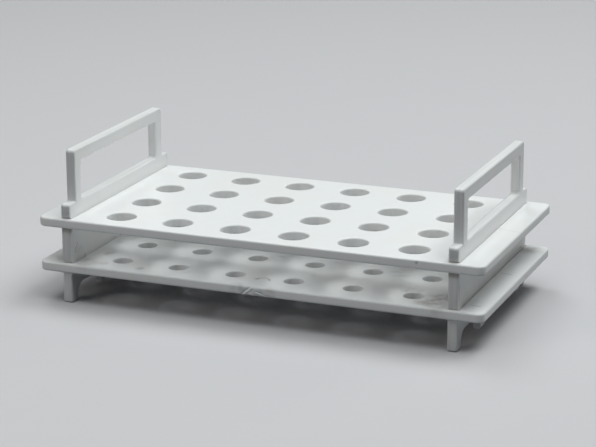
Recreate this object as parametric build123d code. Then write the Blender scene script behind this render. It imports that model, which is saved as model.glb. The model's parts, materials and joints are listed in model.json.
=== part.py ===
from build123d import *
import os

# Rack for microcentrifuge tubes, moulded in white polypropylene. Two shelves
# with tube holes are snapped onto two end frames, which carry the feet below
# and a lifting handle above, so that racks stack handle into feet.
# Millimetres. The origin lies on the table under the middle of the rack, with
# +X along its length, +Y across it and +Z up.

# Tube pattern: the upper holes pass a tube's body, the lower ones hold its tip
tube_columns = 6
tube_rows = 4
column_pitch = 23.0
row_pitch = 21.0
tube_hole_diameter = 11.0
tip_hole_diameter = 7.3

# Shelves
shelf_thickness = 3.6
shelf_gap = 13.6
side_margin = 11.6
end_margin = 16.0
end_strip = 9.5
shelf_corner_radius = 3.0
shelf_edge_bevel = 0.8

# End frames
frame_thickness = 3.8
frame_setback = 0.8
frame_edge_bevel = 0.5
skirt_depth = 5.6
foot_height = 6.2
foot_width = 5.0
foot_fillet = 4.0
foot_corner_radius = 0.8
rail_height = 5.6
rail_corner_radius = 1.2
handle_height = 25.2
handle_bar = 4.9
handle_leg = 5.0
handle_corner_radius = 1.5
window_corner_radius = 1.2

# Snap joint: each frame edge is waisted at a shelf, with a flat seat under the
# shelf and sloping ramps that let the shelf's slot ride over the full width
snap_depth = 0.9
snap_seat = 0.4
snap_ramp = 1.6
slot_clearance = 0.1

# Guide lugs: they stop the frame under the lower shelf, and straddle the
# handle of the rack below when racks are stacked
lug_offset = 22.0
lug_width = 4.6
lug_reach = 2.9
lug_drop = 2.9
lug_lead = 0.5
lug_corner_radius = 0.8
stacking_clearance = 0.2

# Heights above the table
lug_bottom = foot_height - lug_drop
lower_underside = foot_height + skirt_depth
lower_top = lower_underside + shelf_thickness
upper_underside = lower_top + shelf_gap
upper_top = upper_underside + shelf_thickness
rail_top = upper_top + rail_height
handle_top = upper_top + handle_height
window_top = handle_top - handle_bar

# Half sizes across the rack
shelf_half_depth = (tube_rows - 1) * row_pitch / 2 + side_margin
frame_half_depth = shelf_half_depth - frame_setback
waist_half_depth = frame_half_depth - snap_depth
arch_half_depth = frame_half_depth - foot_width
handle_half_depth = arch_half_depth - stacking_clearance
window_half_depth = handle_half_depth - handle_leg

# Places along the rack
frame_inner_face = (tube_columns - 1) * column_pitch / 2 + end_margin
frame_centre = frame_inner_face + frame_thickness / 2
shelf_half_length = frame_inner_face + frame_thickness + end_strip


def band(half_width, low, high):
    """A rectangle centred across the rack, between two heights."""
    return Pos(0, (low + high) / 2) * Rectangle(2 * half_width, high - low)


def at_height(profile, height):
    """The corners of a profile that lie at one height."""
    return profile.vertices().filter_by_position(Axis.Y, height, height)


def frame_profile():
    """The frame's outline across the rack, before the snap notches."""
    plate = band(frame_half_depth, 0, rail_top)
    plate = fillet(at_height(plate, rail_top), rail_corner_radius)
    loop = band(handle_half_depth, upper_top, handle_top)
    loop = fillet(at_height(loop, handle_top), handle_corner_radius)
    window = band(window_half_depth, rail_top, window_top)
    window = fillet(window.vertices(), window_corner_radius)
    arch = band(arch_half_depth, 0, foot_height)
    arch = fillet(at_height(arch, foot_height), foot_fillet)
    profile = plate + loop - window - arch
    return fillet(at_height(profile, 0), foot_corner_radius)


def snap_notches(underside, top):
    """What is cut from both edges of the frame where a shelf sits."""
    outline = Polyline(
        (waist_half_depth, underside),
        (waist_half_depth + snap_seat, underside),
        (frame_half_depth, underside - snap_ramp),
        (frame_half_depth, top + snap_ramp),
        (waist_half_depth, top),
        close=True,
    )
    notch = make_face(outline)
    return notch + mirror(notch, about=Plane.YZ)


def guide_lugs():
    """Lugs on both faces of the frame, with a lead-in where they straddle a handle."""
    face = frame_thickness / 2
    straddle = face + stacking_clearance
    outline = Polyline(
        (0, lower_underside),
        (face + lug_reach, lower_underside),
        (face + lug_reach, lug_bottom),
        (straddle + lug_lead, lug_bottom),
        (straddle, lug_bottom + lug_lead),
        (straddle, foot_height),
        (0, foot_height),
        close=True,
    )
    section = make_face(outline)
    outer_corner = section.vertices().filter_by_position(Axis.Y, lug_bottom, lug_bottom)
    section = fillet(outer_corner.sort_by(Axis.X)[-1], lug_corner_radius)
    section = section + mirror(section, about=Plane.YZ)
    lug = extrude(Plane.XZ * section, lug_width / 2, both=True)
    return [Pos(0, place, 0) * lug for place in (-lug_offset, lug_offset)]


def end_frame(centre):
    """Foot, panel, rail and handle in one flat moulding."""
    plate = extrude(Plane.YZ * frame_profile(), frame_thickness / 2, both=True)
    plate = chamfer(plate.faces().filter_by(Axis.X).edges(), frame_edge_bevel)
    for underside, top in ((lower_underside, lower_top), (upper_underside, upper_top)):
        notches = Plane.YZ * snap_notches(underside, top)
        plate -= extrude(notches, frame_thickness, both=True)
    for lug in guide_lugs():
        plate += lug
    return Pos(centre, 0, 0) * plate


def shelf(underside, hole_diameter):
    """A flat shelf with its tube holes and a slot for each end frame."""
    outline = RectangleRounded(2 * shelf_half_length, 2 * shelf_half_depth, shelf_corner_radius)
    slab = extrude(outline, shelf_thickness)
    slab = chamfer(slab.faces().filter_by(Axis.Z).edges(), shelf_edge_bevel)
    grid = GridLocations(column_pitch, row_pitch, tube_columns, tube_rows)
    holes = Sketch() + grid * Circle(hole_diameter / 2)
    slab -= extrude(holes, shelf_thickness)
    slot_width = frame_thickness + 2 * slot_clearance
    slot_length = 2 * (waist_half_depth + slot_clearance)
    places = Locations((-frame_centre, 0), (frame_centre, 0))
    slots = Sketch() + places * Rectangle(slot_width, slot_length)
    slab -= extrude(slots, shelf_thickness)
    return Pos(0, 0, underside) * slab


nodes = {
    "upper_shelf": shelf(upper_underside, tube_hole_diameter),
    "lower_shelf": shelf(lower_underside, tip_hole_diameter),
    "left_end_frame": end_frame(-frame_centre),
    "right_end_frame": end_frame(frame_centre),
}

os.makedirs("parts", exist_ok=True)
for name, solid in nodes.items():
    export_step(solid, f"parts/{name}.step")
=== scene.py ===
import json
import math

import bmesh
import bpy
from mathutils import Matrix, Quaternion, Vector


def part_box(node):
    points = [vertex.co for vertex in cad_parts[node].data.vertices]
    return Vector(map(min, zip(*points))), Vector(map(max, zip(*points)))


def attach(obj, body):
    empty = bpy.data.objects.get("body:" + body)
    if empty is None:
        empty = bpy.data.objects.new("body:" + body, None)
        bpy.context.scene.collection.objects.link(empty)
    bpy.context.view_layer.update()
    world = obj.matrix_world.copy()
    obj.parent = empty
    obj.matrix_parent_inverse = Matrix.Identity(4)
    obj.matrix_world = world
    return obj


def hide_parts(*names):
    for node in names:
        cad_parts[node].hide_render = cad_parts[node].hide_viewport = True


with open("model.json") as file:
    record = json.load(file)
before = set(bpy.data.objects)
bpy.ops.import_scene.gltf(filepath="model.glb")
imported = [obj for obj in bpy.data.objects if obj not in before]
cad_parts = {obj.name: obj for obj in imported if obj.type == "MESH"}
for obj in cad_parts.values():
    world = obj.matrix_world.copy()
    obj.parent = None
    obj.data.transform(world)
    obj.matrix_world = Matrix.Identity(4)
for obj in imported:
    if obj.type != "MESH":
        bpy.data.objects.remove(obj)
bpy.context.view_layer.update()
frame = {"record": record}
mounts = {mount["name"]: mount for mount in frame["record"]["mounts"]}

millimetre = 0.001          # pieces are modelled in millimetres, then brought to metres
faceTilt = 0.9              # a face looks along an axis when its normal has at least this share of it
straightness = 0.999        # an edge runs along an axis when it has at least this share of it
touch = 0.02                # how near, in millimetres, something must be to be picked by its place
mergeDistance = 0.0005      # closer points than this, in millimetres, become one
shadeAngle = 32             # in degrees: sharper edges than this keep a crease in their shading
normalWeight = 50           # lets the large faces lead the shading at a rounded edge
noiseMiddle = 0.5           # noise swings round this value


def boxInMillimetres(node):
    low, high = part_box(node)
    return low / millimetre, high / millimetre


def middleOf(node):
    # how far along the rack a node's middle lies
    return sum(corner.x for corner in boxInMillimetres(node)) / 2


def selectOnly(*pieces):
    if bpy.context.object and bpy.context.object.mode != "OBJECT":
        bpy.ops.object.mode_set(mode="OBJECT")
    bpy.ops.object.select_all(action="DESELECT")
    for piece in pieces:
        piece.select_set(True)
    if pieces:
        bpy.context.view_layer.objects.active = pieces[0]


def edit(piece):
    selectOnly(piece)
    bpy.ops.object.mode_set(mode="EDIT")


def stopEditing():
    bpy.ops.object.mode_set(mode="OBJECT")


def applyPlace():
    bpy.ops.object.transform_apply(location=True, rotation=True, scale=True)


def pick(piece, kind, wanted):
    # selects only the points, edges or faces that pass the test
    bpy.ops.mesh.select_mode(type=kind)
    bpy.ops.mesh.select_all(action="DESELECT")
    shape = bmesh.from_edit_mesh(piece.data)
    parts = {"VERT": shape.verts, "EDGE": shape.edges, "FACE": shape.faces}[kind]
    for part in parts:
        if wanted(part):
            part.select_set(True)
    bmesh.update_edit_mesh(piece.data)


def middle(edge):
    return (edge.verts[0].co + edge.verts[1].co) / 2


def along(edge, axis):
    run = edge.verts[1].co - edge.verts[0].co
    return abs(run[axis]) > straightness * run.length


def isRim(edge, axis):
    # one face looks along the axis and the other looks sideways
    faces = edge.link_faces
    return len(faces) == 2 and sum(abs(face.normal[axis]) > faceTilt for face in faces) == 1


def roundEdges(radius, steps):
    # a profile of 0.5 is an arc of a circle
    bpy.ops.mesh.bevel(offset_type="OFFSET", offset=radius, segments=steps, profile=0.5,
                       affect="EDGES", clamp_overlap=False, loop_slide=False)


def cutAcross(axis, place):
    # lays a cut through the whole mesh, square to the axis
    normal = Vector((0, 0, 0))
    normal[axis] = 1
    bpy.ops.mesh.select_all(action="SELECT")
    bpy.ops.mesh.bisect(plane_co=place * normal, plane_no=normal)


def outlinePrism(name, start, outline, sideways, depth):
    # draws an outline point by point, closes it, fills it and pulls it out to a prism;
    # each point of the outline is a distance along sideways and a height
    selectOnly()
    bpy.ops.mesh.primitive_plane_add(size=1, location=start)
    piece = bpy.context.object
    piece.name = name
    applyPlace()
    edit(piece)
    bpy.ops.mesh.select_mode(type="VERT")
    bpy.ops.mesh.select_all(action="SELECT")
    bpy.ops.mesh.merge(type="CENTER")
    for (fromSide, fromHeight), (toSide, toHeight) in zip(outline, outline[1:]):
        move = (toSide - fromSide) * Vector(sideways)
        move.z = toHeight - fromHeight
        bpy.ops.mesh.extrude_vertices_move(TRANSFORM_OT_translate={"value": move})
    bpy.ops.mesh.select_all(action="SELECT")
    bpy.ops.mesh.remove_doubles(threshold=touch)
    bpy.ops.mesh.edge_face_add()
    bpy.ops.mesh.extrude_region_move(TRANSFORM_OT_translate={"value": depth})
    bpy.ops.mesh.select_all(action="SELECT")
    bpy.ops.mesh.normals_make_consistent(inside=False)
    stopEditing()
    return piece


def applyModifier(piece, kind, **settings):
    selectOnly(piece)
    modifier = piece.modifiers.new(kind.title(), kind)
    for name, value in settings.items():
        setattr(modifier, name, value)
    bpy.ops.object.modifier_apply(modifier=modifier.name)


def combine(piece, tool, operation):
    applyModifier(piece, "BOOLEAN", object=tool, operation=operation, solver="EXACT")
    bpy.data.objects.remove(tool)


def copyTo(piece, offset):
    twin = piece.copy()
    twin.data = piece.data.copy()
    bpy.context.scene.collection.objects.link(twin)
    selectOnly(twin)
    twin.location = offset
    applyPlace()
    return twin


def joinAll(pieces):
    selectOnly(*pieces)
    bpy.ops.object.join()
    return pieces[0]


def finishPiece(piece, name, node, material):
    # merges what a cut left apart, brings the piece to metres, shades it and hands it over
    edit(piece)
    bpy.ops.mesh.select_all(action="SELECT")
    bpy.ops.mesh.remove_doubles(threshold=mergeDistance)
    bpy.ops.mesh.dissolve_degenerate(threshold=mergeDistance)
    stopEditing()
    piece.scale = (millimetre,) * 3
    applyPlace()
    bpy.ops.object.shade_smooth_by_angle(angle=math.radians(shadeAngle))
    applyModifier(piece, "WEIGHTED_NORMAL", mode="FACE_AREA", weight=normalWeight, keep_sharp=True)
    piece.name = name
    piece.data.name = name
    piece.data.materials.clear()
    piece.data.materials.append(material)
    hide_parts(node)
    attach(piece, "root")
    print(name, "stands for", node, "with", len(piece.data.polygons), "faces")


class Wire:
    # a socket of a shader, on which sums are written as on a number
    def __init__(self, tree, socket=None):
        self.tree = tree
        self.socket = socket

    def node(self, kind, settings, inputs, output=0):
        made = self.tree.nodes.new(kind)
        for name, value in settings.items():
            setattr(made, name, value)
        for name, value in inputs.items():
            if isinstance(value, Wire):
                self.tree.links.new(value.socket, made.inputs[name])
            else:
                made.inputs[name].default_value = value
        return Wire(self.tree, made.outputs[output])

    def maths(self, operation, *values):
        return self.node("ShaderNodeMath", {"operation": operation}, dict(enumerate(values)))

    def __add__(self, other):
        return self.maths("ADD", self, other)

    def __sub__(self, other):
        return self.maths("SUBTRACT", self, other)

    def __rsub__(self, other):
        return self.maths("SUBTRACT", other, self)

    def __mul__(self, other):
        return self.maths("MULTIPLY", self, other)

    __radd__ = __add__
    __rmul__ = __mul__

    def absolute(self):
        return self.maths("ABSOLUTE", self)

    def vector(self, operation, *values, output=0):
        inputs = dict(enumerate((self,) + values))
        return self.node("ShaderNodeVectorMath", {"operation": operation}, inputs, output)

    def length(self):
        return self.vector("LENGTH", output=1)

    def dot(self, direction):
        return self.vector("DOT_PRODUCT", direction, output=1)

    def fade(self, start, end):
        # 1 below start, 0 above end, soft between
        return self.node("ShaderNodeMapRange", {"interpolation_type": "SMOOTHSTEP"},
                         {"Value": self, "From Min": start, "From Max": end, "To Min": 1.0, "To Max": 0.0})

    def rise(self, start, end):
        return 1 - self.fade(start, end)

    def noise(self, size, detail=2.0, roughness=0.5, output=0):
        # features about as large as size, in millimetres
        return self.node("ShaderNodeTexNoise", {}, {"Vector": self, "Scale": 1 / size,
                                                    "Detail": detail, "Roughness": roughness}, output)

    def mixed(self, first, second):
        # first where the wire is 0, second where it is 1
        return self.node("ShaderNodeMix", {"data_type": "RGBA"}, {0: self, 6: first, 7: second}, output=2)


def colour(red, green, blue):
    return (red, green, blue, 1.0)


def connect(wire, shader, name):
    wire.tree.links.new(wire.socket, shader.inputs[name])


plasticStyle = {
    "white": colour(0.94, 0.943, 0.943),
    "warmWhite": colour(0.94, 0.94, 0.93),
    "greyWhite": colour(0.89, 0.90, 0.90),
    "toneSize": 26.0,
    "toneDetail": 3.0,
    "toneRange": (0.42, 0.66),
    "patchSize": 7.0,
    "patchDetail": 4.0,
    "patchRoughness": 0.6,
    "patchRange": (0.5, 0.78),
    "patchStrength": 0.5,
    "roughness": 0.36,
    "roughnessSpread": 0.08,
    "grainSize": 0.55,
    "grainDetail": 2.0,
    "grainHeight": 0.006,
    "waveSize": 14.0,
    "waveDetail": 1.0,
    "waveHeight": 0.10,
    "seedShift": (31.0, 17.0, 7.0),      # each piece takes its pattern from another place
    "index": 1.49,
    "specularLevel": 0.3,
}

# the end frames' narrow faces: fine lines along them, and painted shade on the outermost ones, which face
# the front and the rear
narrowFaceStyle = {
    "shade": colour(0.76, 0.765, 0.765),
    "lineSize": 0.8,
    "lineDetail": 1.0,
    "lineStretch": (1.0, 0.015, 0.015),
    "lineRange": (0.4, 0.6),
    "lineHeight": 0.2,
    "tone": 0.55,
    "lineShare": 0.7,                    # how much of that tone is in the lines
    # painted shade: how much darker the faces at the front and rear ends are
    "endPaintedShade": 0.6,
    "sideFade": (1.3, 1.8),              # from the middle of the plate's thickness
    "endFade": (36.5, 36.9),             # from the middle of the plate's width
    "railFade": (0.3, 0.7),              # from the level of the rail's top, which stays pale
}

markStyle = {
    # these two tints serve real stains and marks, and painted shade as well
    "grimeAndShade": colour(0.42, 0.40, 0.37),
    "bruiseAndShade": colour(0.50, 0.53, 0.55),
    "stress": colour(0.97, 0.98, 0.98),
    "roughness": 0.12,
    "wobbleSize": 1.6,
    "wobbleDetail": 3.0,
    "wobble": 0.7,
    "spotCore": 0.2,                     # the share of a spot's radius that has its full strength
    "speckSize": 3.0,
    "speckDetail": 3.0,
    "speckRange": (0.36, 0.62),
    "speckLeast": 0.35,
    "arcFade": 0.3,                      # how far an arc's ends fade, as a share of its radius
}


def gapToLine(place, start, end):
    # the way to each point from the nearest point on the line from start to end
    run = Vector(end) - Vector(start)
    offset = place.vector("SUBTRACT", start)
    share = offset.dot(tuple(run / run.length_squared))
    share = share.node("ShaderNodeClamp", {}, {"Value": share})
    nearest = place.node("ShaderNodeVectorMath", {"operation": "SCALE"}, {0: tuple(run), "Scale": share})
    return offset.vector("SUBTRACT", nearest)


def spotMark(place, drift, centre, radius):
    # a soft round spot, broken up by specks
    style = markStyle
    spot = place.vector("SUBTRACT", centre).length().fade(style["spotCore"] * radius, radius)
    specks = drift.noise(style["speckSize"], style["speckDetail"]).rise(*style["speckRange"])
    return spot * (style["speckLeast"] + (1 - style["speckLeast"]) * specks)


def arcMark(place, centre, radius, width):
    # the rear half of a ring, fading out towards its ends
    gap = place.vector("SUBTRACT", centre)
    ring = (gap.length() - radius).absolute().fade(0.0, width)
    fade = markStyle["arcFade"] * radius
    return ring * gap.dot((0.0, 1.0, 0.0)).rise(-fade, fade)


def raggedPlace(place):
    # the place, wobbled a little, so that a mark drawn on it has a ragged edge
    style = markStyle
    wobble = place.noise(style["wobbleSize"], style["wobbleDetail"], output=1)
    wobble = wobble.vector("SUBTRACT", (noiseMiddle,) * 3)
    return wobble.vector("MULTIPLY_ADD", (style["wobble"],) * 3, place)


def withMarks(place, drift, marks, base, gloss, height):
    # each mark has its own tint, strength and height; most are what handling or moulding left, and some
    # are painted shade
    ragged = raggedPlace(place)
    for tint, strength, lift, kind, *facts in marks:
        if kind in ("line", "scratch"):
            start, end, width = facts
            gap = gapToLine(ragged, start, end)
            mask = gap.length().fade(0.0, width)
        elif kind == "arc":
            mask = arcMark(ragged, *facts)
        else:
            mask = spotMark(ragged, drift, *facts)
        base = (mask * strength).mixed(base, markStyle[tint])
        gloss = gloss + markStyle["roughness"] * mask
        if kind == "scratch":
            # its middle is turned up towards the light
            height = height + lift * (mask * gap.dot((0.0, 0.0, -1.0)))
        else:
            height = height + lift * mask
    return base, gloss, height


def withNarrowFaces(place, drift, plateMiddle, base, height):
    style = narrowFaceStyle
    narrow = (place.dot((1.0, 0.0, 0.0)) - plateMiddle).absolute().fade(*style["sideFade"])
    lines = drift.vector("MULTIPLY", style["lineStretch"]).noise(style["lineSize"], style["lineDetail"])
    # painted shade on the faces at the front and rear ends, kept off the rail's top
    outer = place.dot((0.0, 1.0, 0.0)).absolute().rise(*style["endFade"])
    outer = outer * (place.dot((0.0, 0.0, 1.0)) - railTop()).absolute().rise(*style["railFade"])
    share = (1 - style["lineShare"]) + style["lineShare"] * lines.rise(*style["lineRange"])
    amount = style["tone"] * share + style["endPaintedShade"] * outer
    base = (narrow * amount.maths("MINIMUM", amount, 1.0)).mixed(base, style["shade"])
    return base, height + style["lineHeight"] * (narrow * lines)


def whitePlastic(name, seed, marks, plateMiddle=None):
    # plateMiddle is given for an end frame only
    style = plasticStyle
    material = bpy.data.materials.new(name)
    material.use_nodes = True
    shader = material.node_tree.nodes["Principled BSDF"]
    place = Wire(material.node_tree).node("ShaderNodeTexCoord", {}, {}, "Object")
    place = place.vector("MULTIPLY", (1 / millimetre,) * 3)
    drift = place.vector("ADD", tuple(seed * shift for shift in style["seedShift"]))

    tone = drift.noise(style["toneSize"], style["toneDetail"])
    patches = drift.noise(style["patchSize"], style["patchDetail"], style["patchRoughness"])
    grain = drift.noise(style["grainSize"], style["grainDetail"])
    waves = drift.noise(style["waveSize"], style["waveDetail"])
    base = tone.rise(*style["toneRange"]).mixed(style["white"], style["warmWhite"])
    base = (style["patchStrength"] * patches.rise(*style["patchRange"])).mixed(base, style["greyWhite"])
    gloss = style["roughness"] + style["roughnessSpread"] * (patches - noiseMiddle)
    height = style["grainHeight"] * grain + style["waveHeight"] * waves
    if plateMiddle is not None:
        base, height = withNarrowFaces(place, drift, plateMiddle, base, height)
    base, gloss, height = withMarks(place, drift, marks, base, gloss, height)
    bump = {"Height": height, "Strength": 1.0, "Distance": millimetre}

    connect(base, shader, "Base Color")
    connect(gloss, shader, "Roughness")
    connect(height.node("ShaderNodeBump", {}, bump), shader, "Normal")
    shader.inputs["IOR"].default_value = style["index"]
    shader.inputs["Specular IOR Level"].default_value = style["specularLevel"]
    return material


# sizes in millimetres, here and in the dictionaries of the end frames
shelfStyle = {
    "columns": 6,
    "rows": 4,
    "cornerRadius": 3.0,
    "cornerSteps": 12,
    "edgeRadius": 0.8,
    "edgeSteps": 5,
    "holeSides": 64,
    "rimRadius": {"tube_holes": 0.7, "tip_holes": 0.45},
    "rimSteps": 4,
    "rimProud": 0.02,        # a flare ends this far beyond the face, so that the face cuts through it
    "slotGap": 0.25,
    "waist": 1.8,            # how much shorter a slot is than its end frame is deep
    "slotBevel": 0.15,
    "overshoot": 1.0,
}

endFrames = ("left_end_frame", "right_end_frame")


def holeCutter(radius, flare, low, high):
    # a cutter that flares at both faces, so that each rim comes out rounded
    steps, proud, over = shelfStyle["rimSteps"], shelfStyle["rimProud"], shelfStyle["overshoot"]
    selectOnly()
    bpy.ops.mesh.primitive_cylinder_add(vertices=shelfStyle["holeSides"], radius=radius,
                                        depth=high - low + 2 * over, location=(0, 0, (low + high) / 2))
    cutter = bpy.context.object
    applyPlace()
    edit(cutter)
    for level, inward in ((low - proud, 1), (high + proud, -1)):
        leans = [math.radians(90 * step / steps) for step in range(steps + 1)]
        rings = [(level + inward * flare * (1 - math.sin(lean)), 1 + flare * (1 - math.cos(lean)) / radius)
                 for lean in leans]
        for height, wider in rings:
            cutAcross(2, height)
        for height, wider in rings:
            pick(cutter, "VERT", lambda vert: abs(vert.co.z - height) < mergeDistance)
            bpy.ops.transform.resize(value=(wider, wider, 1), center_override=(0, 0, height))
        pick(cutter, "VERT", lambda vert: inward * (level - vert.co.z) > over / 2)
        bpy.ops.transform.resize(value=(wider, wider, 1), center_override=(0, 0, level))
    stopEditing()
    return cutter


def slotCutter(endFrame, low, high):
    # a cutter with a small bevel at both faces
    frameLow, frameHigh = boxInMillimetres(endFrame)
    gap, over = shelfStyle["slotGap"], shelfStyle["overshoot"]
    bevel, proud = shelfStyle["slotBevel"], shelfStyle["rimProud"]
    centre = middleOf(endFrame)
    selectOnly()
    bpy.ops.mesh.primitive_cube_add(size=1, location=(centre, 0, (low + high) / 2))
    cutter = bpy.context.object
    bpy.ops.transform.resize(value=(frameStyle["plateThickness"] + 2 * gap,
                                    frameHigh.y - frameLow.y - shelfStyle["waist"] + 2 * gap,
                                    high - low + 2 * over))
    applyPlace()
    size = cutter.dimensions
    wider = (1 + 2 * bevel / size.x, 1 + 2 * bevel / size.y, 1)
    edit(cutter)
    for level, inward in ((low, 1), (high, -1)):
        cutAcross(2, level - inward * proud)
        cutAcross(2, level + inward * bevel)
        pick(cutter, "VERT", lambda vert: inward * (level - vert.co.z) > proud / 2)
        bpy.ops.transform.resize(value=wider, center_override=(centre, 0, level))
    stopEditing()
    return cutter


def makeShelf(name, node, holes, material):
    low, high = boxInMillimetres(node)
    dims = mounts[holes]["dims"]
    columns, rows = shelfStyle["columns"], shelfStyle["rows"]
    pitchX, pitchY = dims["spacing_x_mm"], dims["spacing_y_mm"]
    selectOnly()
    bpy.ops.mesh.primitive_cube_add(size=1, location=(low + high) / 2)
    shelf = bpy.context.object
    bpy.ops.transform.resize(value=high - low)
    applyPlace()
    edit(shelf)
    pick(shelf, "EDGE", lambda edge: along(edge, 2))
    roundEdges(shelfStyle["cornerRadius"], shelfStyle["cornerSteps"])
    pick(shelf, "EDGE", lambda edge: isRim(edge, 2))
    roundEdges(shelfStyle["edgeRadius"], shelfStyle["edgeSteps"])

    # cut lines through and between the holes, so that no face has a hole in its middle
    for step in range(-columns, columns + 1):
        cutAcross(0, pitchX * step / 2)
    for endFrame in endFrames:
        cutAcross(0, middleOf(endFrame))
    for step in range(-rows, rows + 1):
        cutAcross(1, pitchY * step / 2)
    stopEditing()

    pattern = holeCutter(dims["r_mm"], shelfStyle["rimRadius"][holes], low.z, high.z)
    cutters = [slotCutter(endFrame, low.z, high.z) for endFrame in endFrames]
    for column in range(columns):
        for row in range(rows):
            place = ((column - (columns - 1) / 2) * pitchX, (row - (rows - 1) / 2) * pitchY, 0)
            cutters.append(copyTo(pattern, place))
    bpy.data.objects.remove(pattern)
    combine(shelf, joinAll(cutters), "DIFFERENCE")
    finishPiece(shelf, name, node, material)


frameStyle = {
    "plateThickness": 3.8,
    "footWidth": 5.0,
    "footHeight": 6.2,
    "archRadius": 4.0,
    "footRadius": 0.8,
    "railHeight": 5.6,
    "railRadius": 1.2,
    "handleSetback": 5.2,
    "handleBar": 4.9,
    "handleLeg": 5.0,
    "handleRadius": 1.5,
    "windowRadius": 1.2,
    "cornerSteps": 8,
    "edgeRadius": 0.65,
    "edgeSteps": 4,
}

snapStyle = {
    "depth": 0.9,
    "seat": 0.4,
    "ramp": 1.6,
    "overshoot": 1.0,
}

lugStyle = {
    "offset": 22.0,
    "width": 4.6,
    "reach": 2.9,
    "drop": 2.9,
    "leadIn": 0.5,
    "gap": 0.2,
    "cornerRadius": 0.8,
    "cornerSteps": 5,
    "sink": 0.05,            # how far a lug reaches up past the arch, into the plate
}


def railTop():
    return boxInMillimetres("upper_shelf")[1].z + frameStyle["railHeight"]


def snapCutter(centreX, halfDepth, side, low, high):
    # the notch in one edge of the plate where a shelf's slot snaps over it
    depth, seat, ramp, over = (snapStyle[part] for part in ("depth", "seat", "ramp", "overshoot"))
    waist = halfDepth - depth
    thick = frameStyle["plateThickness"] + 2 * over
    below = ramp + over * ramp / (depth - seat)
    above = ramp + over * ramp / depth
    outline = [
        (waist, low), (waist + seat, low), (halfDepth + over, low - below),
        (halfDepth + over, high + above), (waist, high), (waist, low),
    ]
    start = (centreX - thick / 2, side * waist, low)
    return outlinePrism("notch", start, outline, (0, side, 0), (thick, 0, 0))


def lugBlock(centreX, y, top):
    face = frameStyle["plateThickness"] / 2
    straddle, outer = face + lugStyle["gap"], face + lugStyle["reach"]
    roof = frameStyle["footHeight"] + lugStyle["sink"]
    bottom = frameStyle["footHeight"] - lugStyle["drop"]
    lead = lugStyle["leadIn"]
    half = [
        (outer, top), (outer, bottom), (straddle + lead, bottom),
        (straddle, bottom + lead), (straddle, roof),
    ]
    outline = [(-x, z) for x, z in half] + [(x, z) for x, z in reversed(half)]
    outline.append(outline[0])
    start = (centreX - outer, y - lugStyle["width"] / 2, top)
    lug = outlinePrism("lug", start, outline, (1, 0, 0), (0, lugStyle["width"], 0))
    edit(lug)
    pick(lug, "EDGE", lambda edge: along(edge, 1) and abs(middle(edge).z - bottom) < touch
         and abs(abs(middle(edge).x - centreX) - outer) < touch)
    roundEdges(lugStyle["cornerRadius"], lugStyle["cornerSteps"])
    stopEditing()
    return lug


def makeEndFrame(name, node, material):
    style = frameStyle
    low, high = boxInMillimetres(node)
    centreX, halfDepth, top = middleOf(node), high.y, high.z
    arch, rail, thick = style["footHeight"], railTop(), style["plateThickness"]
    archHalf = halfDepth - style["footWidth"]
    handleHalf = halfDepth - style["handleSetback"]
    windowHalf = handleHalf - style["handleLeg"]
    windowTop = top - style["handleBar"]

    # half of the outline, from the middle of the arch round to its start
    outline = [
        (0, arch), (archHalf, arch), (archHalf, 0), (halfDepth, 0), (halfDepth, rail),
        (handleHalf, rail), (handleHalf, top), (0, top), (0, windowTop),
        (windowHalf, windowTop), (windowHalf, rail), (0, rail), (0, arch),
    ]
    plate = outlinePrism(name, (centreX - thick / 2, 0, arch), outline, (0, 1, 0), (thick, 0, 0))
    edit(plate)
    corners = (
        (archHalf, arch, style["archRadius"]),
        (archHalf, 0, style["footRadius"]),
        (halfDepth, 0, style["footRadius"]),
        (halfDepth, rail, style["railRadius"]),
        (handleHalf, top, style["handleRadius"]),
        (windowHalf, windowTop, style["windowRadius"]),
        (windowHalf, rail, style["windowRadius"]),
    )
    for y, z, radius in corners:
        pick(plate, "EDGE", lambda edge: along(edge, 0) and abs(middle(edge).y - y) < touch
             and abs(middle(edge).z - z) < touch)
        roundEdges(radius, style["cornerSteps"])

    # the faces in the middle plane go, and the half is mirrored across it
    pick(plate, "FACE", lambda face: abs(face.normal.y) > faceTilt
         and abs(face.calc_center_median().y) < touch)
    bpy.ops.mesh.delete(type="FACE")
    stopEditing()
    applyModifier(plate, "MIRROR", use_axis=(False, True, False), merge_threshold=touch)
    edit(plate)
    bpy.ops.mesh.select_all(action="SELECT")
    bpy.ops.mesh.normals_make_consistent(inside=False)
    pick(plate, "EDGE", lambda edge: isRim(edge, 0))
    roundEdges(style["edgeRadius"], style["edgeSteps"])
    stopEditing()

    for shelf in ("lower_shelf", "upper_shelf"):
        shelfLow, shelfHigh = boxInMillimetres(shelf)
        for side in (-1, 1):
            combine(plate, snapCutter(centreX, halfDepth, side, shelfLow.z, shelfHigh.z), "DIFFERENCE")
    lugTop = boxInMillimetres("lower_shelf")[0].z
    for y in (-lugStyle["offset"], lugStyle["offset"]):
        combine(plate, lugBlock(centreX, y, lugTop), "UNION")
    finishPiece(plate, name, node, material)


# tint, strength, height in millimetres, kind of mark, then where it lies: a spot's centre and
# radius, an arc's centre, radius and width, or the two ends and the width of a line or scratch
upperMarks = (
    ("bruiseAndShade", 0.8, -0.1, "spot", (62.3, -43.1, 31.4), 0.9),
    # a painted shade line across the right strip
    ("bruiseAndShade", 0.3, 0.0, "line", (77.6, 3.8, 32.6), (86.0, 1.8, 32.6), 0.6),
)

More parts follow.
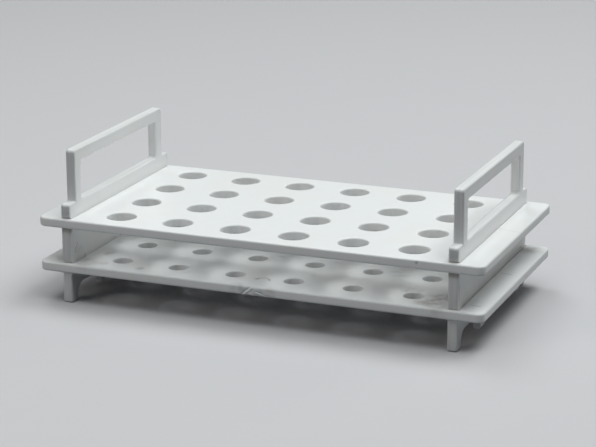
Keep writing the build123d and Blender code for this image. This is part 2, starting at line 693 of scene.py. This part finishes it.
lowerMarks = (
    ("bruiseAndShade", 0.6, 0.0, "spot", (-5.0, -43.1, 13.4), 5.5),
    ("bruiseAndShade", 0.6, 0.0, "spot", (2.2, -43.1, 12.8), 3.0),
    ("grimeAndShade", 0.35, 0.0, "spot", (6.5, -43.1, 13.6), 3.5),
    ("stress", 1.0, 1.3, "scratch", (-0.2, -43.1, 15.0), (-4.0, -43.1, 11.9), 0.9),
    ("stress", 1.0, 1.2, "scratch", (1.6, -43.1, 13.4), (4.7, -43.1, 12.4), 0.8),
    ("stress", 0.6, 0.8, "scratch", (4.7, -43.1, 12.4), (7.8, -43.1, 11.9), 0.6),
    ("grimeAndShade", 0.6, -0.1, "arc", (0.6, -34.7, 15.4), 2.5, 0.8),
    ("grimeAndShade", 0.5, 0.0, "spot", (-2.2, -34.0, 15.4), 1.6),
    ("grimeAndShade", 0.65, 0.0, "spot", (67.5, -30.5, 15.4), 7.0),
    ("grimeAndShade", 0.7, 0.0, "spot", (64.5, -37.0, 15.4), 6.5),
    ("grimeAndShade", 0.4, 0.0, "spot", (55.0, -27.0, 15.4), 6.0),
    ("grimeAndShade", 0.5, 0.0, "spot", (-66.0, -25.5, 15.4), 3.5),
    ("grimeAndShade", 0.5, 0.0, "spot", (-62.6, -37.0, 15.4), 2.5),
    ("grimeAndShade", 0.5, 0.0, "spot", (-47.5, -37.8, 15.4), 2.5),
    ("bruiseAndShade", 0.8, -0.1, "line", (80.0, -34.4, 15.4), (83.1, -34.7, 15.4), 0.5),
    # a painted shade line across the right strip, over a faint groove
    ("bruiseAndShade", 0.6, -0.05, "line", (76.4, 5.0, 15.4), (83.1, 4.4, 15.4), 0.5),
    # painted shade beside the posts, at both ends of the front strip
    ("grimeAndShade", 0.35, 0.0, "spot", (-68.0, -38.0, 15.4), 8.0),
    ("grimeAndShade", 0.4, 0.0, "spot", (69.0, -39.5, 15.4), 7.0),
    # a darker spot at the rear of the right strip, beside the right frame
    ("grimeAndShade", 0.5, 0.0, "spot", (80.0, 37.0, 15.4), 7.0),
)

leftMarks = (
    # a darker line and darker spots on the inner face, low down near the front
    ("grimeAndShade", 0.5, -0.1, "line", (-73.5, -37.1, 22.2), (-73.5, -39.3, 19.1), 0.5),
    ("grimeAndShade", 0.35, 0.0, "spot", (-73.5, -36.5, 17.0), 5.5),
    ("grimeAndShade", 0.6, 0.0, "spot", (-73.5, -31.9, 15.8), 1.6),
    # painted shade on the post's front, just under the upper shelf
    ("grimeAndShade", 0.9, 0.0, "line", (-77.0, -41.9, 28.3), (-73.8, -41.9, 28.3), 1.9),
    # painted shade at the foot of the rail's front end, just above the upper shelf
    ("grimeAndShade", 0.5, 0.0, "line", (-77.0, -41.7, 32.7), (-73.8, -41.7, 32.7), 0.7),
)

rightMarks = (
    # a darker upright line on the outer face, near the front
    ("bruiseAndShade", 0.5, 0.0, "line", (77.3, -40.5, 27.0), (77.3, -40.8, 17.0), 0.5),
    # painted shade on the post's front, just under the upper shelf
    ("grimeAndShade", 0.9, 0.0, "line", (73.8, -41.9, 28.3), (77.0, -41.9, 28.3), 1.9),
    # painted shade at the foot of the rail's front end, just above the upper shelf
    ("grimeAndShade", 0.5, 0.0, "line", (73.8, -41.7, 32.7), (77.0, -41.7, 32.7), 0.7),
)

makeShelf("upperShelfMoulding", "upper_shelf", "tube_holes",
          whitePlastic("upperShelfPlastic", 1, upperMarks))
makeShelf("lowerShelfMoulding", "lower_shelf", "tip_holes",
          whitePlastic("lowerShelfPlastic", 2, lowerMarks))
makeEndFrame("leftEndFrameMoulding", "left_end_frame",
             whitePlastic("leftEndFramePlastic", 3, leftMarks, middleOf("left_end_frame")))
makeEndFrame("rightEndFrameMoulding", "right_end_frame",
             whitePlastic("rightEndFramePlastic", 4, rightMarks, middleOf("right_end_frame")))


studio = {
    "floorSize": 14.0,
    "floorSeen": colour(0.63, 0.62, 0.635),
    "floorBounce": colour(0.16, 0.17, 0.18),
    "floorRoughness": 0.9,
    "floorSpecularLevel": 0.1,
    "skyColour": colour(1.0, 1.0, 1.0),
    "skyStrength": 0.01,
    "bounces": 8,
}

coolLight = (0.955, 1.0, 1.0)
warmLight = (1.0, 0.985, 0.975)

# where each lamp stands in metres, its size, power and colour
lamps = {
    "rightFrontSoftbox": ((0.6, -0.3, 1.5), 0.65, 4.9, coolLight),
    "rightSoftbox": ((0.6, 0.3, 1.5), 0.65, 5.9, coolLight),
    "rearRightSoftbox": ((0.3, 0.6, 1.5), 0.65, 5.0, coolLight),
    "rearLeftSoftbox": ((-0.6, 0.6, 1.5), 0.65, 6.1, coolLight),
    "middleSoftbox": ((-0.3, 0.0, 1.5), 0.65, 2.0, coolLight),
    "frontSoftbox": ((0.0, -0.6, 1.5), 0.65, 3.0, coolLight),
    "lowRearSoftbox": ((1.6, 2.2, 1.2), 1.4, 9.2, warmLight),
    "lowFrontSoftbox": ((0.4, -2.4, 1.4), 1.4, 1.1, warmLight),
    "lowLeftSoftbox": ((-0.7, -0.8, 0.45), 0.5, 1.75, warmLight),
}

# angles in degrees, places in metres
view = {
    "azimuth": 21.89,
    "elevation": 16.48,
    "roll": -0.21,
    "distance": 0.792,
    "aimOffset": (0.0034, -0.0004, -0.006),   # from the middle of the upper shelf's top
    "lens": 127.3,
    "sensorWidth": 36.0,
    "shiftX": -0.0114,
    "shiftY": 0.0049,
}


def makeFloor():
    # paper that is pale where it is seen and throws little light back up
    selectOnly()
    bpy.ops.mesh.primitive_plane_add(size=studio["floorSize"], location=(0, 0, 0))
    floor = bpy.context.object
    floor.name = "floor"
    material = bpy.data.materials.new("floorPaper")
    material.use_nodes = True
    shader = material.node_tree.nodes["Principled BSDF"]
    start = Wire(material.node_tree)
    seen = start.node("ShaderNodeLightPath", {}, {}, "Is Camera Ray")
    for ray in ("Is Glossy Ray", "Is Transmission Ray"):
        seen = seen.maths("MAXIMUM", seen, start.node("ShaderNodeLightPath", {}, {}, ray))
    connect(seen.mixed(studio["floorBounce"], studio["floorSeen"]), shader, "Base Color")
    shader.inputs["Roughness"].default_value = studio["floorRoughness"]
    shader.inputs["Specular IOR Level"].default_value = studio["floorSpecularLevel"]
    floor.data.materials.append(material)


def makeSky():
    world = bpy.data.worlds.new("studio")
    bpy.context.scene.world = world
    world.use_nodes = True
    background = world.node_tree.nodes["Background"]
    background.inputs["Color"].default_value = studio["skyColour"]
    background.inputs["Strength"].default_value = studio["skyStrength"]


def addToScene(name, data, location):
    holder = bpy.data.objects.new(name, data)
    bpy.context.scene.collection.objects.link(holder)
    holder.location = location
    return holder


def areaLamp(name, location, size, power, tint, aim):
    lamp = bpy.data.lights.new(name, "AREA")
    lamp.shape = "SQUARE"
    lamp.size = size
    lamp.energy = power
    lamp.color = tint
    holder = addToScene(name, lamp, location)
    holder.rotation_euler = (aim - holder.location).to_track_quat("-Z", "Y").to_euler()


def makeCamera(target):
    azimuth, elevation = math.radians(view["azimuth"]), math.radians(view["elevation"])
    ahead = Vector((-math.sin(azimuth) * math.cos(elevation),
                    math.cos(azimuth) * math.cos(elevation),
                    -math.sin(elevation)))
    lens = bpy.data.cameras.new("camera")
    lens.lens = view["lens"]
    lens.sensor_fit = "HORIZONTAL"
    lens.sensor_width = view["sensorWidth"]
    lens.shift_x = view["shiftX"]
    lens.shift_y = view["shiftY"]
    camera = addToScene("camera", lens, target + Vector(view["aimOffset"]) - view["distance"] * ahead)
    turn = ahead.to_track_quat("-Z", "Y") @ Quaternion((0, 0, 1), math.radians(view["roll"]))
    camera.rotation_euler = turn.to_euler()
    bpy.context.scene.camera = camera


shelfTop = Vector((0, 0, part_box("upper_shelf")[1].z))
makeFloor()
makeSky()
for name, facts in lamps.items():
    areaLamp(name, *facts, shelfTop)
makeCamera(shelfTop)
bpy.context.scene.view_settings.view_transform = "Standard"
bpy.context.scene.cycles.diffuse_bounces = studio["bounces"]
print("floor, lamps and camera are in place")
